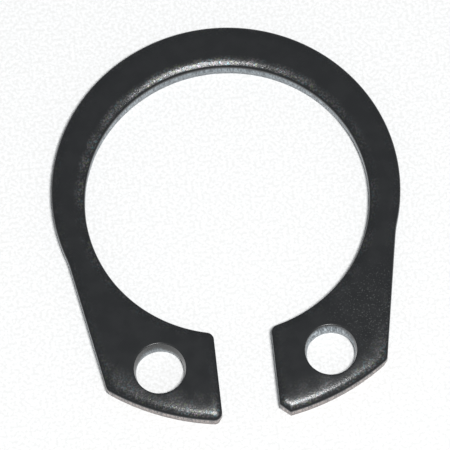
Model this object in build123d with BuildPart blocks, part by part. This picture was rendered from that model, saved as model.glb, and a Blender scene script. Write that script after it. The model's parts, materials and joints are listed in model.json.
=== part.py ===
"""External retaining ring with two plier lugs, stamped from spring steel strip.

The ring lies flat on Z = 0 with its rolled edges up. The origin is the centre of
its inner circle on the bottom face, and the gap between the lugs faces -Y.
"""

from build123d import *
import os
from math import cos, radians, sin, sqrt

# Driving dimensions of the relaxed ring, in millimetres and degrees.
inner_diameter = 11.0        # for a 12 mm shaft, whose groove it grips
thickness = 1.0              # of the strip
beam_back = 1.69             # radial width opposite the gap
beam_side = 1.25             # radial width a quarter turn from the gap
gap_width = 2.22             # between the two lugs
lug_height = 3.46            # from the inner circle out to the lugs' ends
flank_angle = 10.2           # lean of each lug's straight flank toward the gap
flank_break = 9.6            # bend where the round body turns into a flank
hole_diameter = 1.93         # plier holes
hole_from_gap = 2.18         # a lug's gap face to the centre of its hole
hole_inset = 1.875           # from the inner circle out to the centre of a hole

# Corners of the outline.
flank_blend_radius = 4.0     # softens the bend between body and flank
inner_corner_radius = 0.3    # inner circle to gap
lug_corner_radius = 0.3      # flank to lug end
gap_corner_radius = 0.3      # lug end to gap, on the left lug
gap_corner_chamfer = 0.38    # lug end to gap, on the right lug

# Edges as the press tool leaves them: rolled over on top, torn off below.
roll_over_radius = 0.22
hole_roll_over_radius = 0.1
break_out_height = 0.45      # torn share of the wall, below its sheared band
break_out_depth = 0.07       # how far the torn wall leans back at the bottom
bottom_edge_radius = 0.04

# Sizes that follow.
inner_radius = inner_diameter / 2
outer_radius = inner_radius + beam_side
outer_shift = beam_back - beam_side
lug_end_radius = inner_radius + lug_height
hole_x = gap_width / 2 + hole_from_gap
hole_y = -sqrt((inner_radius + hole_inset) ** 2 - hole_x**2)


def flank_side(y):
    """Distance from the centre line to a flank: a chord of the body's outer circle, drawn on."""
    lean = radians(flank_angle)
    chord_distance = outer_radius * cos(radians(flank_break))
    return (chord_distance + (y - outer_shift) * sin(lean)) / cos(lean)


os.makedirs("parts", exist_ok=True)

with BuildPart() as retaining_ring:
    with BuildSketch() as outline:
        # Both lugs at first are one wedge between the flanks, ended by an arc about the origin.
        wedge_top = outer_shift - outer_radius * sin(radians(flank_angle))
        Circle(lug_end_radius)
        with BuildLine():
            Polyline(
                (-flank_side(wedge_top), wedge_top),
                (flank_side(wedge_top), wedge_top),
                (flank_side(-lug_end_radius), -lug_end_radius),
                (-flank_side(-lug_end_radius), -lug_end_radius),
                close=True,
            )
        make_face(mode=Mode.INTERSECT)
        # The body is a crescent: its outer circle is shifted away from the gap.
        with Locations((0, outer_shift)):
            Circle(outer_radius)
        Circle(inner_radius, mode=Mode.SUBTRACT)
        with Locations((0, -lug_end_radius / 2)):
            Rectangle(gap_width, lug_end_radius, mode=Mode.SUBTRACT)

        # Corners, the highest pair first, so that the others keep their count from the lowest.
        fillet(outline.vertices().sort_by(Axis.Y)[6:8], flank_blend_radius)
        fillet(outline.vertices().sort_by(Axis.Y)[4:6], inner_corner_radius)
        fillet(outline.vertices().sort_by(Axis.Y)[2:4], lug_corner_radius)
        fillet(outline.vertices().sort_by(Axis.Y)[0:2].sort_by(Axis.X)[0], gap_corner_radius)
        chamfer(outline.vertices().sort_by(Axis.Y)[0], gap_corner_chamfer)

        with Locations((-hole_x, hole_y), (hole_x, hole_y)):
            Circle(hole_diameter / 2, mode=Mode.SUBTRACT)
    extrude(amount=thickness)

    # The torn lower wall leans back all round, at the holes too.
    bottom_face = faces().sort_by(Axis.Z)[0]
    chamfer(bottom_face.edges(), break_out_depth, break_out_height, reference=bottom_face)
    fillet(faces().sort_by(Axis.Z)[0].edges(), bottom_edge_radius)

    # The upper edges are rolled over, less so at the holes.
    fillet(faces().sort_by(Axis.Z)[-1].outer_wire().edges(), roll_over_radius)
    hole_rims = faces().sort_by(Axis.Z)[-1].inner_wires().edges()
    fillet(hole_rims, hole_roll_over_radius)

retaining_ring.part.label = "retaining_ring"
export_step(retaining_ring.part, "parts/retaining_ring.step")
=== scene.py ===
"""Looks of a black external retaining ring that lies on white paper."""

import json
import math

import bpy
import numpy as np
from mathutils import Matrix, Vector, geometry, noise


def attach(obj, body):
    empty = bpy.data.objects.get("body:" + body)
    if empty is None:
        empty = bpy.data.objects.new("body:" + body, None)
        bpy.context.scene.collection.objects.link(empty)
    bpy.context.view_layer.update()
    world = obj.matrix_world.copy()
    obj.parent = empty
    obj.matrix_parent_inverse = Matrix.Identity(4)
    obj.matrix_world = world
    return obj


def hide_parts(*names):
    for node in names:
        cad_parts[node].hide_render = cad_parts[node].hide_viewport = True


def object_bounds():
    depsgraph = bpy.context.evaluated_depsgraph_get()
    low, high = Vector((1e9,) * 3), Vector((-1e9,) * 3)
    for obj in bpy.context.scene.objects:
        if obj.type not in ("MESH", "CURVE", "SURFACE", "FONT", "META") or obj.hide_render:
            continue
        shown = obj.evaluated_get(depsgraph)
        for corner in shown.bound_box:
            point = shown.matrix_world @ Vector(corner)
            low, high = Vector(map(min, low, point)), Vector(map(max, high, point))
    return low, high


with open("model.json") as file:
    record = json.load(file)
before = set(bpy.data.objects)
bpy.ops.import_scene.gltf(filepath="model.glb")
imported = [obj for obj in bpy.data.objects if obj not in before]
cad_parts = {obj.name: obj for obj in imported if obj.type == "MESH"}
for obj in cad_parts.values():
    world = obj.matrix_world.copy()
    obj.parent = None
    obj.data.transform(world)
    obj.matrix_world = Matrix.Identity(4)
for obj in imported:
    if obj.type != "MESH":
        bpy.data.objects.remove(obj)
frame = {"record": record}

cad_low, cad_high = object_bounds()
MM = 0.001               # the mesh is worked out in millimetres and stored in metres
mounts = {mount["name"]: mount for mount in frame["record"]["mounts"]}

# ---------------------------------------------------------------- sizes, mm and degrees

INNER_RADIUS = mounts["shaft_seat"]["dims"]["r_mm"]
OUTER_RADIUS = cad_high.x / MM
OUTER_SHIFT = cad_high.y / MM - OUTER_RADIUS
THICKNESS = cad_high.z / MM
HOLE_NAMES = ("plier_hole_left", "plier_hole_right")
HOLE_CENTRES = [Vector(mounts[name]["pos_m"][:2]) / MM for name in HOLE_NAMES]
LUG_END_RADIUS = 8.96    # the lugs' outer ends are arcs about the ring's centre
HALF_GAP = 1.11
FLANK_LEAN = math.radians(10.2)
FLANK_BREAK = math.radians(9.6)
BLEND_RADIUS = 4.0
CORNER_RADIUS = 0.3
CORNER_CHAMFER = 0.38

# Stamped edges, from the top face down: a wide roll, a tight turn, a sheared band and a torn band.
ROLL_WIDTH, ROLL_DEPTH = 0.44, 0.13
TURN_RADIUS = 0.055
LUG_ROLL_WIDTH, LUG_ROLL_DEPTH = 1.15, 0.155     # a second, wider roll toward the lugs' ends
NARROWER_ON_LUGS, SHALLOWER_ON_LUGS, TIGHTER_ON_LUGS = 0.12, 0.045, 0.02
# The change to the lugs' edge begins this far below the centre and takes this long.
LUG_START, LUG_BLEND = 3.0, 2.5
TEAR_START = 0.46        # height of the torn band's upper border
TEAR_INSET = 0.075       # how far it has leaned back at the bottom
TEAR_GRAIN = 0.012       # depth of its roughness
BOTTOM_ROUNDING = 0.04

# The punched holes: a tight turn at the rim, and a wall that narrows a little on the way down.
HOLE_RIM = 0.995
HOLE_TURN_RADIUS = 0.035
HOLE_FUNNEL, HOLE_FUNNEL_DEPTH = 0.07, 0.5       # the holes' walls close in by this over this depth

# ---------------------------------------------------------------- outline

# Spacing of the outline's points, wider than a corner's shift in the innermost edge loop.
STEP = 0.12


def arc(centre, radius, start, end, bulges=True):
    """Points of an arc and its outward normals. An arc that doesn't bulge is hollow."""
    step = min(STEP, radius * math.radians(9))
    count = max(3, math.ceil(abs(end - start) * radius / step))
    angles = np.linspace(start, end, count + 1)
    rays = np.column_stack([np.cos(angles), np.sin(angles)])
    return np.array(centre) + radius * rays, rays if bulges else -rays


def line(start, end, normal):
    """Points of a straight edge and its outward normals."""
    length = np.linalg.norm(np.subtract(end, start))
    share = np.linspace(0, 1, max(2, math.floor(length / STEP)) + 1)[:, None]
    points = np.array(start) * (1 - share) + np.array(end) * share
    return points, np.tile(np.array(normal, float), (len(points), 1))


def direction(vector):
    return math.atan2(vector[1], vector[0])


def half_outline(cut_corner):
    """The right half, from the inner circle's top, round the lug, to the outer circle's top."""
    inner_corner_x = HALF_GAP + CORNER_RADIUS
    inner_corner = np.array([
        inner_corner_x,
        -math.sqrt((INNER_RADIUS + CORNER_RADIUS) ** 2 - inner_corner_x**2),
    ])
    normal = np.array([math.cos(FLANK_LEAN), -math.sin(FLANK_LEAN)])
    down = np.array([-math.sin(FLANK_LEAN), -math.cos(FLANK_LEAN)])
    body_centre = np.array([0, OUTER_SHIFT])
    chord = OUTER_RADIUS * math.cos(FLANK_BREAK)
    flank = chord + body_centre @ normal
    end_radius = LUG_END_RADIUS - CORNER_RADIUS
    lug_corner = (flank - CORNER_RADIUS) * normal
    lug_corner = lug_corner + math.sqrt(end_radius**2 - (flank - CORNER_RADIUS) ** 2) * down
    blend = body_centre + (chord + BLEND_RADIUS) * normal
    blend = blend + math.sqrt((OUTER_RADIUS + BLEND_RADIUS) ** 2 - (chord + BLEND_RADIUS) ** 2) * down

    edges = [
        arc((0, 0), INNER_RADIUS, math.pi / 2, direction(inner_corner), bulges=False),
        arc(inner_corner, CORNER_RADIUS, direction(-inner_corner), math.pi),
    ]
    if cut_corner:
        corner_angle = -math.acos(HALF_GAP / LUG_END_RADIUS)
        corner_y = LUG_END_RADIUS * math.sin(corner_angle)
        end_start = corner_angle + CORNER_CHAMFER / LUG_END_RADIUS
        cut_top = np.array([HALF_GAP, corner_y + CORNER_CHAMFER])
        cut_end = LUG_END_RADIUS * np.array([math.cos(end_start), math.sin(end_start)])
        along = (cut_end - cut_top) / np.linalg.norm(cut_end - cut_top)
        edges += [
            line((HALF_GAP, inner_corner[1]), cut_top, (-1, 0)),
            line(cut_top, cut_end, (along[1], -along[0])),
        ]
    else:
        gap_corner = np.array([inner_corner_x, -math.sqrt(end_radius**2 - inner_corner_x**2)])
        end_start = direction(gap_corner)
        edges += [
            line((HALF_GAP, inner_corner[1]), (HALF_GAP, gap_corner[1]), (-1, 0)),
            arc(gap_corner, CORNER_RADIUS, math.pi, end_start + 2 * math.pi),
        ]
    edges += [
        arc((0, 0), LUG_END_RADIUS, end_start, direction(lug_corner)),
        arc(lug_corner, CORNER_RADIUS, direction(lug_corner), direction(normal)),
        line(lug_corner + CORNER_RADIUS * normal, blend - BLEND_RADIUS * normal, normal),
        arc(blend, BLEND_RADIUS, direction(-normal), direction(body_centre - blend), bulges=False),
        arc(body_centre, OUTER_RADIUS, direction(blend - body_centre), math.pi / 2),
    ]
    points, normals = [edges[0][0][0]], [edges[0][1][0]]
    for edge_points, edge_normals in edges:
        joint = normals[-1] + edge_normals[0]
        normals[-1] = joint / (1 + normals[-1] @ edge_normals[0])
        points.extend(edge_points[1:])
        normals.extend(edge_normals[1:])
    return np.array(points), np.array(normals)


def outline():
    """The closed outline, anticlockwise round the material, with its outward normals."""
    right, right_normals = half_outline(cut_corner=True)
    left, left_normals = half_outline(cut_corner=False)
    mirror = np.array([-1, 1])
    points = np.vstack([right[:-1], (left * mirror)[::-1][:-1]])
    normals = np.vstack([right_normals[:-1], (left_normals * mirror)[::-1][:-1]])
    return points, normals


def circle(centre, radius, count=96):
    """The closed rim of a hole, with normals that point out of the material."""
    angles = np.arange(count) * 2 * math.pi / count
    rays = np.column_stack([np.cos(angles), -np.sin(angles)])
    return np.array(centre) + radius * rays, -rays


# ---------------------------------------------------------------- height of the rolled top face


def roll(distance, width, depth, power=2.2):
    """How far a face that rolls over sinks at this distance from its edge."""
    return depth * np.clip(1 - distance / width, 0, 1) ** power


def turn(distance, radius):
    """The tight turn from the roll into the wall, a quarter of a circle."""
    share = np.clip(1 - distance / radius, 0, 1)
    return radius * (1 - np.sqrt(np.clip(1 - share**2, 0, 1)))


def from_centre(points):
    """How far these points are from the ring's centre."""
    return np.hypot(points[:, 0], points[:, 1])


def from_rim(points, centre):
    """How far these points are from the rim of the hole with this centre."""
    return np.hypot(points[:, 0] - centre.x, points[:, 1] - centre.y) - HOLE_RIM


def lug_share(points):
    """0 on the ring's body and 1 on the lugs, with a soft change between."""
    return np.clip((-points[:, 1] - LUG_START) / LUG_BLEND, 0, 1)


def top_height(points, edge_distance):
    """Height of the top face at these points, given how far they are from the outline."""
    on_lug = lug_share(points)
    narrow = roll(
        edge_distance, ROLL_WIDTH - NARROWER_ON_LUGS * on_lug, ROLL_DEPTH - SHALLOWER_ON_LUGS * on_lug
    )
    wide = on_lug * roll(LUG_END_RADIUS - from_centre(points), LUG_ROLL_WIDTH, LUG_ROLL_DEPTH)
    return THICKNESS - (narrow + wide + turn(edge_distance, TURN_RADIUS - TIGHTER_ON_LUGS * on_lug))


def edge_wear(points, edge_distance):
    """How rubbed the coat is: most on the bore's edge opposite the gap, then on the lug ends."""
    on_lug = lug_share(points)
    opposite_gap = np.clip((points[:, 1] - 0.3 * points[:, 0] - 1.0) / 4.0, 0, 1)
    bore = np.clip(1 - (from_centre(points) - INNER_RADIUS) / ROLL_WIDTH, 0, 1) ** 0.7
    bore = (0.2 + 0.8 * opposite_gap) * bore
    end = np.clip(1 - (LUG_END_RADIUS - from_centre(points)) / LUG_ROLL_WIDTH, 0, 1) ** 1.3
    edge = 0.15 * np.clip(1 - edge_distance / ROLL_WIDTH, 0, 1)
    return np.clip(bore * (1 - on_lug) + on_lug * 0.7 * end + edge, 0, 1)


# ---------------------------------------------------------------- mesh

# Insets of the loops along the outline and the holes' rims, close together where the face turns.
EDGE_INSETS = (0.0, 0.003, 0.01, 0.02, 0.034, 0.052, 0.075, 0.1, 0.13, 0.16, 0.19, 0.22)
HOLE_INSETS = HOLE_TURN_RADIUS * np.array([0, 0.04, 0.12, 0.25, 0.42, 0.65, 1.0])
FIELD_LOW, FIELD_HIGH = (-7.0, -9.0), (7.0, 7.5)   # a rectangle a little larger than the ring
TOP_SPACING, BOTTOM_SPACING = 0.065, 0.4
SPARSE_EVERY = 9         # away from the edges, one top point in this many is kept

# Depth of coat left on each hole's wall, and how strongly painted light lightens its bare part on the side
# toward the lamp. Left hole, then right.
HOLE_COATS, HOLE_PAINTED_LIGHT = (0.42, 0.06), (0.3, 0.55)
HOLE_PAINTED_LIGHT_SIDE = np.array([0.5, -0.866])       # the holes' walls that face this way, toward the lamp, are the barest and lightest: painted light


def distance_to(loop, points):
    """Shortest distance from each point to a closed loop of points."""
    ends = np.roll(loop, -1, axis=0)
    span = ends - loop
    squared = (span**2).sum(axis=1)
    shortest = []
    for block in np.array_split(points, max(1, len(points) // 2000)):
        offset = block[:, None] - loop[None]
        share = np.clip((offset * span).sum(axis=2) / squared, 0, 1)
        gap = offset - share[:, :, None] * span
        shortest.append(np.sqrt((gap**2).sum(axis=2).min(axis=1)))
    return np.concatenate(shortest)


def inside(loop, points):
    """Which points lie inside a closed loop, by counting crossings."""
    ends = np.roll(loop, -1, axis=0)
    crossings = np.zeros(len(points), int)
    for (ax, ay), (bx, by) in zip(loop, ends):
        straddles = (points[:, 1] < ay) != (points[:, 1] < by)
        if straddles.any():
            crossing_x = ax + (points[:, 1] - ay) / ((by - ay) or 1) * (bx - ax)
            crossings += straddles & (points[:, 0] < crossing_x)
    return crossings % 2 == 1


def hexagonal_points(spacing):
    """A honeycomb of points over the field."""
    rows = np.arange(FIELD_LOW[1], FIELD_HIGH[1], spacing * math.sqrt(3) / 2)
    columns = np.arange(FIELD_LOW[0], FIELD_HIGH[0], spacing)
    return np.array([(x + spacing / 2 * (row % 2), y) for row, y in enumerate(rows) for x in columns])


class RingMesh:
    """Collects vertices, faces and how each vertex was finished."""

    def __init__(self):
        self.vertices, self.faces = [], []
        self.finish = {"wear": [], "cut": [], "torn": [], "pale": [], "warm": []}

    def add_vertices(self, plan, heights, **finish):
        first = sum(len(block) for block in self.vertices)
        self.vertices.append(np.column_stack([plan, np.broadcast_to(heights, len(plan))]))
        for name, values in self.finish.items():
            values.append(np.broadcast_to(np.asarray(finish.get(name, 0.0), float), len(plan)))
        return np.arange(first, first + len(plan))

    def bridge(self, upper, lower):
        """A closed band of quads between two loops of vertices."""
        self.faces += np.column_stack([lower, np.roll(lower, -1), np.roll(upper, -1), upper]).tolist()

    def cap(self, loops, extra, finish, upward=True):
        """Triangles between loops of (ids, points), with extra points that finish adds as vertices."""
        loop_points = [points for _, points in loops]
        flat = [Vector(point) for point in np.vstack(loop_points + [extra])]
        edges, first = [], 0
        for points in loop_points:
            count = len(points)
            edges += [(first + i, first + (i + 1) % count) for i in range(count)]
            first += count
        placed, _, triangles, origins, _, _ = geometry.delaunay_2d_cdt(flat, edges, [], 0, 1e-7)
        placed = np.array([point[:] for point in placed])
        centres = placed[np.array(triangles)].mean(axis=1)
        keep = inside(loop_points[0], centres)
        for hole in loop_points[1:]:
            keep &= ~inside(hole, centres)
        ids = np.concatenate([ids for ids, _ in loops] + [finish(extra)])
        index = [ids[origin[0]] for origin in origins]
        for triangle, kept in zip(triangles, keep):
            if kept:
                corners = [index[corner] for corner in triangle]
                self.faces.append(corners if upward else corners[::-1])

    def build(self, name):
        mesh = bpy.data.meshes.new(name)
        mesh.from_pydata((np.vstack(self.vertices) * MM).tolist(), [], self.faces)
        for attribute, values in self.finish.items():
            layer = mesh.attributes.new(attribute, "FLOAT", "POINT")
            layer.data.foreach_set("value", np.concatenate(values).astype(np.float32))
        mesh.polygons.foreach_set("use_smooth", [True] * len(mesh.polygons))
        mesh.update()
        piece = bpy.data.objects.new(name, mesh)
        bpy.context.collection.objects.link(piece)
        return piece


def wander(points, size, seed):
    """Smooth noise from -1 to 1 at each plan point."""
    return np.array([noise.noise(Vector((x / size, y / size, seed))) for x, y in points])


def wall_profile(top, tear):
    """Steps down a cut wall, as (inset, height, torn), from its top height and the tear's border."""
    steps = []
    for share in np.linspace(0, 1, 5)[1:]:
        steps.append((0.0, top + (tear - top) * share, 0.0))
    for share in np.linspace(0, 1, 9)[1:]:
        lean = TEAR_INSET * share**0.8
        steps.append((lean, tear + (BOTTOM_ROUNDING - tear) * share, min(1.0, 4 * share)))
    for angle in np.radians((30, 60, 90)):
        inset = TEAR_INSET + BOTTOM_ROUNDING * (1 - math.cos(angle))
        steps.append((inset, BOTTOM_ROUNDING * (1 - math.sin(angle)), 1.0))
    return steps


def build_wall(ring, edge, normals, bare_depth, bare_span, funnel=0.0, **tone):
    """The cut wall under an edge (ids, points, heights). Returns its bottom loop and plan points."""
    upper, points, top = edge
    tear = TEAR_START + 0.05 * wander(points, 0.9, 3.0) + 0.025 * wander(points, 0.2, 7.0)
    for step, (inset, height, torn) in enumerate(wall_profile(top, tear)):
        grain = TEAR_GRAIN * wander(points, 0.06, 11.0 + step * 1.7) * torn
        grain = grain * (height > BOTTOM_ROUNDING / 2)
        inset = inset - funnel * np.clip((THICKNESS - height) / HOLE_FUNNEL_DEPTH, 0, 1)
        plan = points - normals * np.reshape(inset + np.abs(grain), (-1, 1))
        bare = np.clip((top - height - bare_depth) / bare_span + 0.5, 0, 1)
        lower = ring.add_vertices(plan, height, cut=bare, torn=torn, **tone)
        ring.bridge(upper, lower)
        upper = lower
    return upper, plan


def build_outer_edge(ring, border, normals):
    """Edge loops and wall along the outline. Returns the innermost top loop and the bottom loop."""
    edge = previous = None
    for inset in EDGE_INSETS:
        plan = border - normals * inset
        distance = np.full(len(plan), inset)
        heights = top_height(plan, distance)
        worn = np.clip((inset - 0.05) / 0.05, 0, 1) * edge_wear(plan, distance)
        ids = ring.add_vertices(plan, heights, wear=worn)
        if previous is None:
            edge = ids, plan, heights
        else:
            ring.bridge(ids, previous)
        previous = ids
    # Walls that face the lamp, on the lug ends and on the bore opposite the gap, are painted lighter, as
    # painted light; patchy random tone varies all walls, and the lug ends' walls are also warm in tone and
    # bare from the top.
    on_end = (from_centre(border) > LUG_END_RADIUS - 0.5) & (border[:, 1] < -5)
    opposite_gap = (from_centre(border) < INNER_RADIUS + 0.05) & (border[:, 1] > 3)
    patchy = 0.5 + 0.5 * wander(border, 0.5, 21.0)
    bottom = build_wall(
        ring, edge, normals,
        bare_depth=np.where(on_end, 0.0, 0.05),
        bare_span=np.where(on_end, 0.06, 0.16 + 0.14 * patchy),
        pale=patchy * np.where(on_end | opposite_gap, 0.45, 0.1),
        warm=on_end,
    )
    return (previous, plan), bottom


def build_hole(ring, border, centre, coat_depth, paleness):
    """Rim loops and wall of one hole. Returns the outermost top loop and the bottom loop."""
    edge = previous = None
    for inset in HOLE_INSETS:
        rim, normals = circle(centre, HOLE_RIM + inset)
        heights = top_height(rim, distance_to(border, rim))
        heights = heights - turn(np.full(len(rim), inset), HOLE_TURN_RADIUS)
        ids = ring.add_vertices(rim, heights)
        if previous is None:
            edge = ids, rim, heights
        else:
            ring.bridge(ids, previous)
        previous = ids
    drift = wander(edge[1], 0.45, 31.0)
    # Walls on the side toward the lamp are left barer and painted lighter: painted light, varied by drift
    # as random tone.
    lit_side = 0.5 + 0.5 * normals @ HOLE_PAINTED_LIGHT_SIDE
    bottom = build_wall(
        ring, edge, normals,
        bare_depth=coat_depth * (1 + 0.4 * drift) + 0.3 * (1 - lit_side),
        bare_span=0.25,
        funnel=HOLE_FUNNEL,
        pale=np.clip(paleness * lit_side * (1.1 + 1.2 * drift), 0, 1),
    )
    return (previous, rim), bottom


def top_points(border, innermost):
    """Inner points of the top face: dense near edges, holes and lug ends, sparse elsewhere."""
    points = hexagonal_points(TOP_SPACING)
    points = points[inside(innermost, points)]
    edge_distance = distance_to(border, points)
    clear = edge_distance > EDGE_INSETS[-1] + 0.03
    from_end = LUG_END_RADIUS - from_centre(points)
    dense = (edge_distance < ROLL_WIDTH + 0.05) | (np.arange(len(points)) % SPARSE_EVERY == 0)
    dense |= (from_end < LUG_ROLL_WIDTH + 0.1) & (points[:, 1] < -LUG_START)
    for centre in HOLE_CENTRES:
        clear &= from_rim(points, centre) > HOLE_TURN_RADIUS + 0.04
        dense |= from_rim(points, centre) < 0.2
    return points[clear & dense]


def bottom_points(border, outermost):
    """A few inner points of the flat bottom face."""
    points = hexagonal_points(BOTTOM_SPACING)
    keep = inside(outermost, points) & (distance_to(border, points) > 0.3)
    for centre in HOLE_CENTRES:
        keep &= from_rim(points, centre) > 0.2
    return points[keep]


def build_ring():
    ring = RingMesh()
    border, border_normals = outline()
    loops = [build_outer_edge(ring, border, border_normals)]
    for hole in zip(HOLE_CENTRES, HOLE_COATS, HOLE_PAINTED_LIGHT):
        loops.append(build_hole(ring, border, *hole))
    top_loops, bottom_loops = zip(*loops)

    def finish_top(points):
        distance = distance_to(border, points)
        return ring.add_vertices(points, top_height(points, distance), wear=edge_wear(points, distance))

    def finish_bottom(points):
        return ring.add_vertices(points, 0.0)

    ring.cap(top_loops, top_points(border, top_loops[0][1]), finish_top)
    ring.cap(bottom_loops, bottom_points(border, bottom_loops[0][1]), finish_bottom, upward=False)
    return ring.build("ring")


# ---------------------------------------------------------------- materials


class Nodes:
    """Adds shader nodes to a material and links them, one call for each node."""

    def __init__(self, name):
        self.material = bpy.data.materials.new(name)
        self.material.use_nodes = True
        self.tree = self.material.node_tree
        self.shader = self.tree.nodes["Principled BSDF"]

    def add(self, kind, inputs=None, **settings):
        node = self.tree.nodes.new(kind)
        for key, value in settings.items():
            setattr(node, key, value)
        for key, value in (inputs or {}).items():
            self.put(node.inputs[key], value)
        return node

    def put(self, socket, value):
        if isinstance(value, bpy.types.NodeSocket):
            self.tree.links.new(value, socket)
        else:
            socket.default_value = value

    def coordinates(self):
        """Object coordinates in millimetres."""
        place = self.add("ShaderNodeTexCoord")
        inputs = {0: place.outputs["Object"], "Scale": 1 / MM}
        return self.add("ShaderNodeVectorMath", inputs, operation="SCALE").outputs["Vector"]

    def noise(self, vector, size, detail=2.0, roughness=0.5):
        """Noise with features about this many millimetres across."""
        inputs = {"Vector": vector, "Scale": 1 / size, "Detail": detail, "Roughness": roughness}
        return self.add("ShaderNodeTexNoise", inputs)

    def spread(self, value, low, high, to_low=0.0, to_high=1.0):
        """Maps low to high onto a new range, smoothly and clamped."""
        inputs = {"Value": value, "From Min": low, "From Max": high, "To Min": to_low, "To Max": to_high}
        node = self.add("ShaderNodeMapRange", inputs, interpolation_type="SMOOTHSTEP")
        return node.outputs["Result"]

    def math(self, operation, first, second):
        return self.add("ShaderNodeMath", {0: first, 1: second}, operation=operation).outputs[0]

    def mix_colour(self, factor, first, second, data_type="RGBA"):
        inputs = {"Factor": factor, "A": first, "B": second}
        return self.add("ShaderNodeMix", inputs, data_type=data_type).outputs["Result"]

    def mix_value(self, factor, first, second):
        return self.mix_colour(factor, first, second, data_type="FLOAT")

    def ramp(self, value, stops):
        """Colours along a value, from (place, colour) pairs."""
        node = self.add("ShaderNodeValToRGB", {"Fac": value})
        for place, colour in stops[2:]:
            node.color_ramp.elements.new(place)
        for element, (place, colour) in zip(node.color_ramp.elements, stops):
            element.position, element.color = place, colour
        return node.outputs["Color"]

    def attribute(self, name):
        return self.add("ShaderNodeAttribute", attribute_name=name).outputs["Fac"]


def steel_material():
    """Black phosphated steel: even on the faces, rubbed bright on the rolled edges, bare grey where cut."""
    nodes = Nodes("black_phosphated_steel")
    place = nodes.coordinates()
    wear, cut, torn = (nodes.attribute(name) for name in ("wear", "cut", "torn"))
    pale, warm = nodes.attribute("pale"), nodes.attribute("warm")

    coat = (0.0168, 0.0178, 0.0190, 1)
    sheared = (0.25, 0.30, 0.33, 1)
    broken = (0.29, 0.315, 0.335, 1)
    tan = (0.36, 0.31, 0.29, 1)
    # Painted light: bright and bright_tan are the colours that cut walls which face the lamp are lightened
    # toward.
    bright = (0.66, 0.72, 0.76, 1)
    bright_tan = (0.66, 0.56, 0.52, 1)
    dusty = (0.26, 0.27, 0.26, 1)
    dust_centre = (5.2, -5.2, 1.0)
    score_shade = (0.06, 0.07, 0.085, 1)

    crystals = nodes.noise(place, 0.075, detail=3.0, roughness=0.65)
    patches = nodes.noise(place, 0.6, detail=2.0)
    speckle = nodes.math("MULTIPLY", nodes.spread(crystals.outputs["Fac"], 0.46, 0.6), wear)
    patchy = nodes.spread(patches.outputs["Fac"], 0.35, 0.6, 0.15, 0.75)
    speckle = nodes.math("MULTIPLY", speckle, patchy)

    tints = nodes.noise(place, 0.12, detail=1.0)
    metal = nodes.ramp(tints.outputs["Fac"], (
        (0.36, (0.12, 0.23, 0.25, 1)),
        (0.46, (0.24, 0.25, 0.26, 1)),
        (0.54, (0.29, 0.20, 0.26, 1)),
        (0.62, (0.19, 0.25, 0.13, 1)),
    ))

    # Dust lies mostly on the right lug and flank, in fine grains.
    grains = nodes.noise(place, 0.055, detail=1.0)
    inputs = {0: place, 1: dust_centre}
    from_dust = nodes.add("ShaderNodeVectorMath", inputs, operation="DISTANCE").outputs["Value"]
    dust = nodes.spread(from_dust, 0.3, 2.6, 0.42, 0.0)
    dust = nodes.math("MULTIPLY", dust, nodes.spread(grains.outputs["Fac"], 0.62, 0.7))

    face = nodes.mix_colour(nodes.math("MULTIPLY", dust, 0.8), coat, dusty)
    face = nodes.mix_colour(speckle, face, metal)

    # The cut walls: fine upright scores, then a grainy tear, lighter in places, from random tone and from
    # painted light where they face the lamp.
    squeeze = nodes.add("ShaderNodeVectorMath", {0: place, 1: (1, 1, 0.12)}, operation="MULTIPLY")
    scores = nodes.noise(squeeze.outputs["Vector"], 0.05, detail=3.0)
    grit = nodes.noise(place, 0.06, detail=2.0, roughness=0.6)
    mottle = nodes.spread(nodes.noise(place, 0.16, detail=3.0).outputs["Fac"], 0.42, 0.6)
    wall = nodes.mix_colour(warm, nodes.mix_colour(torn, sheared, broken), tan)
    # Painted light on the walls: lit is mixed in where the mesh marks walls that face the lamp, with random
    # mottle.
    lit = nodes.mix_colour(warm, bright, bright_tan)
    wall = nodes.mix_colour(nodes.math("MULTIPLY", pale, nodes.math("ADD", mottle, 0.4)), wall, lit)
    scored = nodes.mix_value(torn, scores.outputs["Fac"], grit.outputs["Fac"])
    wall = nodes.mix_colour(nodes.spread(scored, 0.38, 0.6, 0.8, 0.0), wall, score_shade)
    nodes.put(nodes.shader.inputs["Base Color"], nodes.mix_colour(cut, face, wall))

    bare = nodes.math("MAXIMUM", speckle, nodes.math("MULTIPLY", cut, 0.85))
    nodes.put(nodes.shader.inputs["Metallic"], bare)
    coat_rough = nodes.spread(patches.outputs["Fac"], 0.3, 0.7, 0.24, 0.31)
    rough = nodes.mix_value(cut, coat_rough, nodes.mix_value(torn, 0.34, 0.5))
    nodes.put(nodes.shader.inputs["Roughness"], rough)

    strength = nodes.mix_value(nodes.math("MAXIMUM", wear, cut), 0.02, 0.9)
    bump = nodes.add(
        "ShaderNodeBump",
        {"Strength": strength, "Distance": 0.014 * MM, "Height": crystals.outputs["Fac"]},
    )
    nodes.put(nodes.shader.inputs["Normal"], bump.outputs["Normal"])
    return nodes.material


def paper_material():
    """White paper with a faint grain."""
    nodes = Nodes("white_paper")
    place = nodes.coordinates()
    grain = nodes.noise(place, 0.12, detail=2.0)
    colour = nodes.mix_colour(
        nodes.spread(grain.outputs["Fac"], 0.35, 0.65), (0.82, 0.82, 0.81, 1), (0.925, 0.925, 0.925, 1)
    )
    nodes.put(nodes.shader.inputs["Base Color"], colour)
    nodes.put(nodes.shader.inputs["Roughness"], 0.9)
    nodes.put(nodes.shader.inputs["Specular IOR Level"], 0.1)
    return nodes.material


# ---------------------------------------------------------------- the object

ring = build_ring()
ring.data.materials.append(steel_material())
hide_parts("retaining_ring")
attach(ring, "root")

# ---------------------------------------------------------------- paper, light and camera

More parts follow.
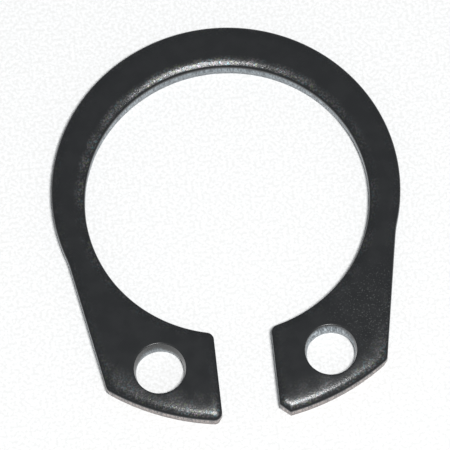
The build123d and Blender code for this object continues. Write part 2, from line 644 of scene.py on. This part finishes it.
TARGET = Vector((-0.18, -0.82, 0.27)) * MM
CAMERA_TILT = math.radians(20.3)
CAMERA_TURN = math.radians(-2.5)
CAMERA_ROLL = math.radians(-3.9)
CAMERA_DISTANCE = 0.22
LENS = 455.0             # mm, on a sensor 36 mm wide
PAPER_HALF_WIDTH = 3.0   # metres, wide enough for low views
ROOM_LIGHT = 0.2


def looking_back(tilt, turn_angle):
    """Unit vector from the ring toward something that stands this far off the vertical."""
    return Vector((
        math.sin(turn_angle) * math.sin(tilt),
        -math.cos(turn_angle) * math.sin(tilt),
        math.cos(tilt),
    ))


def add_paper():
    mesh = bpy.data.meshes.new("paper")
    signs = ((-1, -1), (1, -1), (1, 1), (-1, 1))
    corners = [(x * PAPER_HALF_WIDTH, y * PAPER_HALF_WIDTH, 0) for x, y in signs]
    mesh.from_pydata(corners, [], [(0, 1, 2, 3)])
    paper = bpy.data.objects.new("paper", mesh)
    bpy.context.collection.objects.link(paper)
    paper.data.materials.append(paper_material())


def add_lamp(name, tilt, turn_angle, distance, size, power):
    light = bpy.data.lights.new(name, "AREA")
    light.shape = "DISK"
    light.size = size
    light.energy = power
    lamp = bpy.data.objects.new(name, light)
    bpy.context.collection.objects.link(lamp)
    away = looking_back(math.radians(tilt), math.radians(turn_angle))
    lamp.location = TARGET + away * distance
    lamp.rotation_mode = "QUATERNION"
    lamp.rotation_quaternion = away.to_track_quat("Z", "Y")


def add_world():
    world = bpy.data.worlds.new("room")
    world.use_nodes = True
    background = world.node_tree.nodes["Background"]
    background.inputs["Color"].default_value = (0.9, 0.95, 1.0, 1)
    background.inputs["Strength"].default_value = ROOM_LIGHT
    bpy.context.scene.world = world


def add_camera():
    camera = bpy.data.objects.new("camera", bpy.data.cameras.new("camera"))
    bpy.context.collection.objects.link(camera)
    camera.data.lens = LENS
    camera.data.sensor_width = 36.0
    camera.data.clip_start = 0.01
    camera.data.clip_end = 10.0
    back = looking_back(CAMERA_TILT, CAMERA_TURN)
    level_right = Vector((math.cos(CAMERA_TURN), math.sin(CAMERA_TURN), 0))
    level_up = back.cross(level_right)
    right = level_right * math.cos(CAMERA_ROLL) + level_up * math.sin(CAMERA_ROLL)
    up = level_up * math.cos(CAMERA_ROLL) - level_right * math.sin(CAMERA_ROLL)
    axes = Matrix((right, up, back)).transposed().to_4x4()
    camera.matrix_world = Matrix.Translation(TARGET + back * CAMERA_DISTANCE) @ axes
    bpy.context.scene.camera = camera


add_paper()
add_lamp("key", tilt=19, turn_angle=13, distance=0.3, size=0.04, power=0.9)
add_world()
add_camera()
bpy.context.scene.view_settings.view_transform = "Standard"
